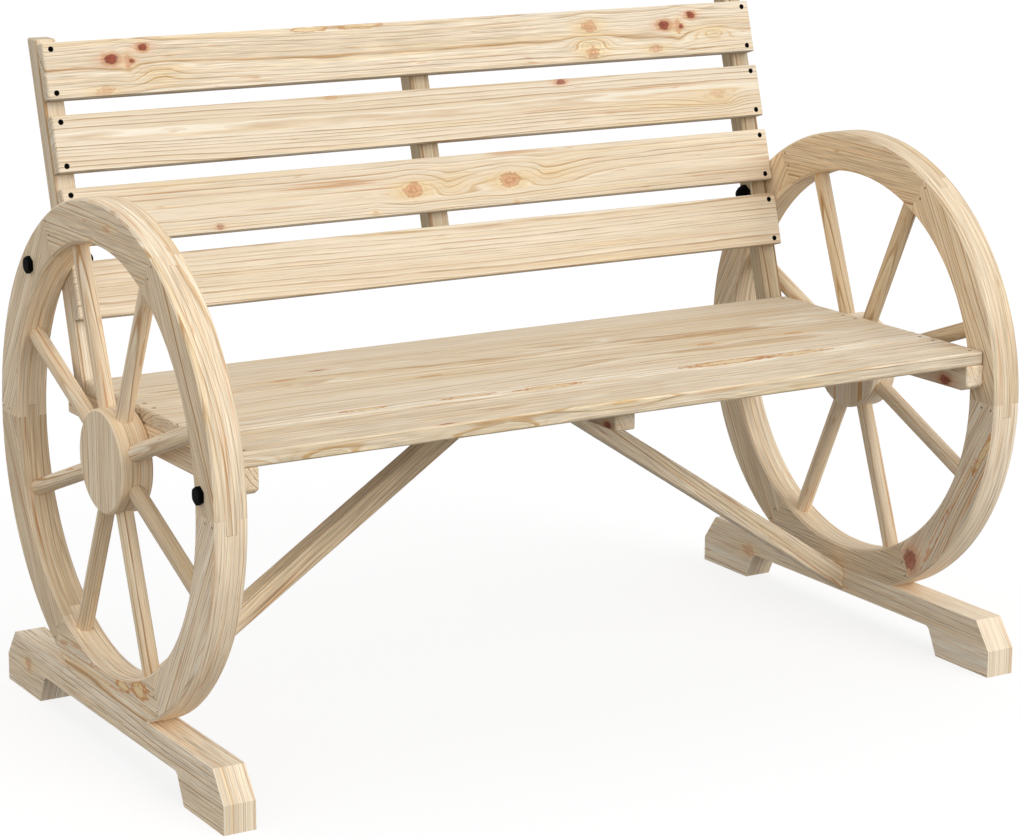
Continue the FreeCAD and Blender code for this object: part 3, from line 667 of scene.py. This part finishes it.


# Slats from the top down: all have painted shade along their lower edges, and the two lowest have painted
# light towards their right ends
SLATS = {
    "back_slat_4": slat(
        side=0.055, depth=0.05, ring=0.0046, wander=0.02,
        bold=1.25, grain=0.7, amber=0.5, tone=0.96, streaks=0.6,
        swirls=(
            Knot(-0.395, 0.006, 0.0085, 0.55, 0.8), Knot(0.384, 0.005, 0.0085, 0.55, 0.9),
            Knot(-0.427, -0.027, 0.0045, 2.6, 0.6), Knot(0.247, 0.012, 0.0075, 1.5, 0.9),
            Knot(0.249, -0.021, 0.0065, 1.6, 0.9), Knot(0.345, -0.022, 0.0050, 2.0, 0.7),
        ),
        knots=(
            Knot(-0.416, 0.009, 0.0060, 1.5, 1.0), Knot(-0.374, 0.021, 0.0045, 1.5, 1.0),
            Knot(-0.390, 0.006, 0.0030, 1.1, 0.9), Knot(0.363, 0.008, 0.0060, 1.5, 1.0),
            Knot(0.406, 0.019, 0.0045, 1.5, 1.0), Knot(0.389, 0.005, 0.0030, 1.1, 0.9),
        ),
        flames=(
            Flame(-0.355, -0.012, 0.008, 0.03, 0.03, 0.014, 1.2),
            Flame(0.247, -0.010, 0.008, 0.03, 0.03, 0.015, 1.4),
            Flame(0.44, -0.004, 0.008, 0.04, 0.03, 0.014, 0.9),
        ),
        pockets=(Pocket(-0.148, 0.031, 0.025, 0.0035, 0.7), Pocket(-0.085, 0.031, 0.03, 0.0035, 0.6)),
    ),
    "back_slat_3": slat(
        side=-0.06, depth=0.05, ring=0.0048, wander=0.02, grain=0.28, amber=0.4, tone=0.96,
        swirls=(Knot(0.432, 0.001, 0.0045, 3.0, 0.4), Knot(-0.136, 0.032, 0.003, 3.0, 0.5)),
        knots=(Knot(0.194, 0.0295, 0.0035, 2.0, 0.8),),
        flames=(Flame(0.44, -0.012, 0.008, 0.15, 0.025, 0.012, 2.5),),
    ),
    "back_slat_2": slat(
        ring=0.0045, amber=0.6, tone=0.92, streaks=0.7, fade=Fade(0.28, 0.5, 0.1),
        swirls=(
            Knot(-0.040, -0.0045, 0.0085, 1.5, 1.0), Knot(0.0996, -0.003, 0.0090, 1.6, 1.0),
            Knot(0.105, -0.031, 0.003, 1.3, 0.4), Knot(-0.096, -0.028, 0.003, 1.5, 0.4),
        ),
        knots=(Knot(-0.306, -0.027, 0.003, 1.5, 0.5),),
        flames=(
            Flame(0.155, 0.002, 0.008, 0.025, 0.06, 0.018, -1.9),
            Flame(0.010, 0.0, 0.008, 0.022, 0.05, 0.018, -1.8),
        ),
    ),
    "back_slat_1": slat(
        side=-0.065, depth=0.045, ring=0.0042, bold=0.85, amber=0.4, tone=0.92, streaks=0.3,
        fade=Fade(0.28, 0.5, 0.1),
    ),
}
# Tones of the posts, partly the wood's own and partly painted shade: the right and middle posts are darker as
# they stand in the slats' shade
POST_TONES_AND_PAINTED_SHADE = {"left": 0.93, "right": 0.64, "middle": 0.66}


def batten(**growth):
    """The log of a post, rail or bearer."""
    return Log(side=0.03, depth=0.05, bold=1.4, **growth)


def dress_back():
    """Slats from the top down, then the posts that carry them."""
    for name, log in SLATS.items():
        saw(name, ALONG, LEAN, log)
    for name, tone in POST_TONES_AND_PAINTED_SHADE.items():
        saw(f"back_post_{name}", LEAN, ALONG, batten(ring=0.0045, tone=tone))


def board(**growth):
    """A seat board's log: its pith is under the board and a little out of line with it."""
    return Log(amber=0.6, ends=0.25, **growth)


BOARDS = {
    "seat_board_front": board(
        side=0.06, depth=-0.05, ring=0.0055, slope=0.012, wander=0.02,
        bold=1.1, grain=0.9, tone=0.9, streaks=0.4,
        knots=(Knot(-0.244, -0.041, 0.0018, 5.0, 0.8),),
        flames=(
            Flame(-0.39, -0.0465, -0.009, 0.10, 0.09, 0.014, 2.6),
            Flame(-0.17, -0.0465, -0.008, 0.12, 0.07, 0.014, 2.4),
            Flame(-0.02, -0.0465, 0.007, 0.09, 0.09, 0.013, 1.7),
            Flame(0.2, -0.0465, -0.007, 0.14, 0.12, 0.013, 1.5),
        ),
    ),
    "seat_board_middle": board(
        side=0.03, depth=-0.06, ring=0.007, slope=0.01, wander=0.03, bold=0.85, tone=0.91,
        swirls=(
            Knot(0.366, 0.032, 0.0045, 3.0, 0.9), Knot(0.235, 0.033, 0.0045, 3.0, 0.9),
            Knot(-0.143, 0.049, 0.0035, 6.0, 0.9),
        ),
        pockets=(
            Pocket(0.20, -0.063, 0.06, 0.0085, 0.9), Pocket(0.30, -0.065, 0.05, 0.0055, 0.9),
            Pocket(-0.29, -0.060, 0.03, 0.004, 0.9), Pocket(-0.16, -0.064, 0.035, 0.004, 0.9),
            Pocket(-0.055, -0.067, 0.04, 0.005, 0.9),
        ),
        bands=(Band(-0.060, 0.015, 0.85),),
    ),
    "seat_board_back": board(
        side=-0.06, depth=-0.05, ring=0.007, slope=0.01, wander=0.02, tone=0.89,
        swirls=(Knot(-0.304, -0.041, 0.004, 4.0, 0.8),),
        knots=(Knot(-0.243, -0.013, 0.002, 5.0, 0.9),),
    ),
}
BEARERS = {
    "seat_rail_left": batten(ring=0.003, warm=1.0, ends=0.1),
    "seat_rail_right": batten(
        ring=0.0045, tone=1.1, warm=0.5, ends=0.0, knots=(Knot(-0.185, -0.008, 0.006, 1.6, 0.9),),
    ),
    "seat_bearer": batten(ring=0.0045, tone=0.85, ends=0.0, knots=(Knot(-0.168, -0.009, 0.005, 1.4, 0.9),)),
}


def dress_seat():
    """Seat boards from front to back, then the rails and the bearer under them."""
    for name, log in BOARDS.items():
        saw(name, ALONG, BACK, log)
    for name, log in BEARERS.items():
        saw(name, BACK, UP, log)


def brace(**growth):
    """A brace's log, with bold fibres and faint ring lines."""
    return Log(side=0.03, depth=0.05, ring=0.0045, bold=0.9, grain=1.2, streaks=0.7, **growth)


def skid(**growth):
    """A skid's log: straight lines on its top and ends, and no dark ends."""
    return Log(side=0.06, depth=0.07, wander=0.02, grain=0.7, ends=0.0, boxed=True, **growth)


# Braces: the left one has painted shade, darker towards its upper end under the seat, and the right one
# painted light, paler towards its lower end
BRACES = {
    "left": brace(
        tone=0.95, warm=1.6, fade=Fade(-0.2, 0.15, -0.22),
        pockets=(Pocket(-0.22, 0.0, 0.05, 0.005, 0.7), Pocket(0.05, 0.012, 0.06, 0.003, 0.6)),
    ),
    "right": brace(tone=0.97, warm=0.6, fade=Fade(0.05, -0.25, 0.1)),
}
SKIDS = {
    "left": skid(ring=0.0036, bold=1.6, tone=1.04, warm=0.3, swirls=(Knot(0.236, 0.004, 0.007, 1.2, 0.8),)),
    "right": skid(ring=0.008, bold=1.15, tone=1.09, warm=0.6, swirls=(Knot(0.199, 0.005, 0.008, 1.6, 0.6),)),
}

# Which way along the bench a brace leans as it rises
BRACE_LEANS = {"left": 1, "right": -1}


def dress_stand(side):
    """One brace, along its own slope, and the skid at its foot."""
    low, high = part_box(f"brace_{side}")
    slope = Vector((BRACE_LEANS[side] * (high.x - low.x), 0, high.z - low.z))
    saw(f"brace_{side}", slope, BACK, BRACES[side])
    saw(f"skid_{side}", BACK, UP, SKIDS[side])


# Tones of hubs, felloes and spokes, from the back of a wheel over its top, partly the wood's own and partly
# painted shade and light for each piece, and the marks of some felloes
HUB_TONES_AND_PAINTED_SHADE = {"left": 1.0, "right": 1.4}
FELLOE_TONES_AND_PAINTED_SHADE = {
    "left": (0.98, 0.98, 0.99, 1.12, 1.05, 0.88),
    "right": (0.92, 0.86, 0.93, 1.18, 0.97, 0.98),
}
SPOKE_TONES_AND_PAINTED_SHADE = {
    "left": (0.98, 1.01, 0.98, 1.0, 0.79, 0.96, 0.89, 1.02),
    "right": (0.92, 0.86, 0.72, 0.72, 1.04, 1.06, 1.18, 1.0),
}
FELLOE_MARKS = {
    "felloe_left_2": {
        "swirls": (Knot(0.034, -0.0015, 0.004, 2.5, 0.5), Knot(-0.011, -0.0227, 0.004, 2.0, 0.5)),
    },
    "felloe_left_5": {
        "pockets": (
            Pocket(-0.090, -0.029, 0.026, 0.0095, 0.9), Pocket(-0.0465, -0.0212, 0.017, 0.0065, 0.85),
            Pocket(0.078, -0.024, 0.05, 0.006, 0.6, PALE), Pocket(0.05, -0.011, 0.08, 0.0012, 0.8),
            Pocket(-0.118, -0.012, 0.025, 0.0012, 0.8),
        ),
    },
    "felloe_right_4": {
        "knots": (Knot(0.126, -0.029, 0.0125, 1.1, 0.75),),
        "pockets": (
            Pocket(-0.085, 0.001, 0.03, 0.004, 0.9), Pocket(-0.02, -0.006, 0.045, 0.002, 0.7),
            Pocket(0.06, -0.008, 0.05, 0.005, 0.6, PALE),
        ),
    },
}


def felloe(tone, marks):
    """A felloe's log, whose edges have lines that follow the rim."""
    return Log(
        side=0.06, depth=0.06, ring=0.0038, slope=0.02, wander=0.03, bold=1.9, grain=0.45, amber=0.4,
        tone=tone, warm=0.8, streaks=0.75, ends=0.0, bend=RIM_MIDDLE, **marks,
    )


def hub(tone):
    """A hub's log, whose edge has lines that follow its circle."""
    return Log(side=0.05, depth=0.03, ring=0.005, bold=1.4, tone=tone, warm=1.0, ends=0.0, bend=0.0)


def spoke(tone):
    """A spoke's log."""
    return Log(side=0.025, depth=0.02, ring=0.0042, slope=0.03, bold=1.35, tone=tone, warm=1.0, streaks=0.8)


def outward(angle):
    """The direction from the axle at an angle, which grows from the back over the top to the front."""
    return Vector((0, math.cos(angle), math.sin(angle)))


def dress_wheel(side):
    """A hub, the felloes round its axle and the spokes between them."""
    saw(f"wheel_hub_{side}", UP, BACK, hub(HUB_TONES_AND_PAINTED_SHADE[side]))
    axle = middle(f"wheel_hub_{side}")
    for number in range(FELLOES):
        name = f"felloe_{side}_{number + 1}"
        radial = outward(FELLOE_TURN * (number + 0.5))
        log = felloe(FELLOE_TONES_AND_PAINTED_SHADE[side][number], FELLOE_MARKS.get(name, {}))
        saw(name, ALONG.cross(radial), radial, log, axle + radial * RIM_MIDDLE)
    for number in range(SPOKES):
        radial = outward(SPOKE_PHASE + SPOKE_TURN * number)
        saw(f"spoke_{side}_{number + 1}", radial, ALONG, spoke(SPOKE_TONES_AND_PAINTED_SHADE[side][number]))


# Dark steel: how it is mottled and how much it shines
MOTTLE_SHIFT = 0.4
MOTTLE_DETAIL = 3.0
MOTTLE_SPAN = (0.35, 0.75)
MOTTLE_GAIN = 1.9
MOTTLE_ROUGH = 0.3
PEEL = {"Strength": 0.2, "Distance": 0.0002}
STEEL_SPECULAR = 0.04


def dark_steel(name, colour, rough, grain):
    """Dark-finished steel: noise, in grains to a metre, mottles its colour and gloss and gives a bump."""
    material, finish = new_finish(name)
    place = finish.node("ShaderNodeTexCoord", output="Object")
    mottle = finish.noise(finish.stretched(place, (grain, grain, grain), MOTTLE_SHIFT), MOTTLE_DETAIL)
    paler = tuple(channel * MOTTLE_GAIN for channel in colour)
    sockets = {
        "Base Color": finish.blend(mottle.rise(*MOTTLE_SPAN), colour + (1,), paler + (1,)),
        "Roughness": mottle * MOTTLE_ROUGH + rough,
        "Specular IOR Level": STEEL_SPECULAR,
        "Normal": finish.node("ShaderNodeBump", None, PEEL | {"Height": mottle}),
    }
    finish.surface(finish.node("ShaderNodeBsdfPrincipled", None, sockets))
    return material


BOLTS = ("post_bolts", "post_cap_nuts", "rail_bolts")
SCREWS = (
    "slat_screws", "middle_post_screws", "bearer_screws", "post_foot_screws", "skid_screws", "brace_screws",
)
NAILS = ("seat_nails", "rim_pins")


def dress_fasteners():
    """One finish for bolts and nuts, one for screws, one for nails and pins."""
    finishes = (
        (BOLTS, dark_steel("bolt_black", colour=(0.0008, 0.0008, 0.0009), rough=0.55, grain=300)),
        (SCREWS, dark_steel("screw_black", colour=(0.0008, 0.0008, 0.0008), rough=0.6, grain=500)),
        (NAILS, dark_steel("nail_dark", colour=(0.16, 0.10, 0.06), rough=0.5, grain=500)),
    )
    for names, material in finishes:
        for name in names:
            dress(name, material)


def in_view(finish):
    """1 for rays from the camera, also by way of gloss or glass, and 0 for those that light the bench."""
    path = finish.node("ShaderNodeLightPath", output="Is Camera Ray")
    return path.larger(path.output("Is Glossy Ray")).larger(path.output("Is Transmission Ray"))


WHITE = (1, 1, 1, 1)

# Floor: half its width, how far it lies below the feet, its colour for light and for the camera, and its glow
FLOOR_REACH = 30.0
FLOOR_DROP = 0.0002
FLOOR_LIT = (0.2, 0.2, 0.2, 1)
FLOOR_SEEN = (0.9, 0.9, 0.9, 1)
FLOOR_GLOW = 1.12
GLOW_SHARE = 0.7


def floor():
    """A flat square of four corners, wide enough to fill the view, a little below the feet."""
    reach = FLOOR_REACH
    corners = np.array([(-reach, -reach), (reach, -reach), (reach, reach), (-reach, reach)])
    spots = np.column_stack([corners, np.full(len(corners), -FLOOR_DROP)])
    mesh = bpy.data.meshes.new("floor")
    mesh.from_pydata(spots.tolist(), [], [(0, 1, 2, 3)])
    item = bpy.data.objects.new("floor", mesh)
    bpy.context.scene.collection.objects.link(item)
    material, finish = new_finish("floor_white")
    seen = in_view(finish)
    matt = finish.node("ShaderNodeBsdfDiffuse", None, {"Color": finish.blend(seen, FLOOR_LIT, FLOOR_SEEN)})
    glow = finish.node("ShaderNodeEmission", None, {"Color": WHITE, "Strength": FLOOR_GLOW})
    finish.surface(finish.node("ShaderNodeMixShader", None, {0: seen * GLOW_SHARE, 1: matt, 2: glow}))
    mesh.materials.append(material)


# Light: the surround's strength, and the suns' strengths and the directions that they come from
AMBIENT = 0.70
SUNS = {"key": (0.42, Vector((0.25, -0.85, 0.42))), "fill": (0.12, Vector((-1, -0.35, 0.15)))}
SUN_WIDTH = math.radians(50)


def light():
    """An even white surround, a broad key light from the front and a weak fill from the left."""
    world = bpy.data.worlds.new("surround")
    bpy.context.scene.world = world
    world.use_nodes = True
    finish = Finish(world.node_tree)
    shine = above(AMBIENT, in_view(finish))
    sky = finish.node("ShaderNodeBackground", None, {"Color": WHITE, "Strength": shine})
    finish.node("ShaderNodeOutputWorld", None, {"Surface": sky})
    for name, (strength, towards) in SUNS.items():
        lamp = bpy.data.lights.new(name, "SUN")
        lamp.energy = math.pi * strength
        lamp.angle = SUN_WIDTH
        item = bpy.data.objects.new(name, lamp)
        item.rotation_euler = towards.to_track_quat("Z", "Y").to_euler()
        bpy.context.scene.collection.objects.link(item)


# Camera: the photograph's frame, focal length and lens axis in pixels, then its place and turns in radians
PHOTO_WIDTH = 1020
PHOTO_HEIGHT = 838
FOCAL = 2937.55
AXIS_X = 435.13
AXIS_Y = 392.26
CAMERA_PLACE = Vector((-1.7951, -2.9431, 1.1543))
YAW = 0.5207
PITCH = -0.2270
ROLL = -0.0021
SENSOR_WIDTH = 36.0
VIEW_DEPTH = 100


def camera():
    """The photograph's view: place, direction and lens, with the frame's middle shifted off the lens axis."""
    data = bpy.data.cameras.new("camera")
    item = bpy.data.objects.new("camera", data)
    bpy.context.scene.collection.objects.link(item)
    level = Vector((math.cos(YAW), -math.sin(YAW), 0))
    ahead = Vector((math.sin(YAW) * math.cos(PITCH), math.cos(YAW) * math.cos(PITCH), math.sin(PITCH)))
    upright = level.cross(ahead)
    right = level * math.cos(ROLL) + upright * math.sin(ROLL)
    top = upright * math.cos(ROLL) - level * math.sin(ROLL)
    turn = Matrix((right, top, -ahead)).transposed()
    item.matrix_world = Matrix.Translation(CAMERA_PLACE) @ turn.to_4x4()
    data.sensor_fit = "HORIZONTAL"
    data.sensor_width = SENSOR_WIDTH
    data.lens = FOCAL * SENSOR_WIDTH / PHOTO_WIDTH
    data.shift_x = (PHOTO_WIDTH / 2 - AXIS_X) / PHOTO_WIDTH
    data.shift_y = (AXIS_Y - PHOTO_HEIGHT / 2) / PHOTO_WIDTH
    data.clip_end = VIEW_DEPTH
    bpy.context.scene.camera = item


dress_back()
dress_seat()
for side in SIDES:
    dress_stand(side)
    dress_wheel(side)
dress_fasteners()
floor()
light()
camera()
bpy.context.scene.view_settings.view_transform = "Standard"
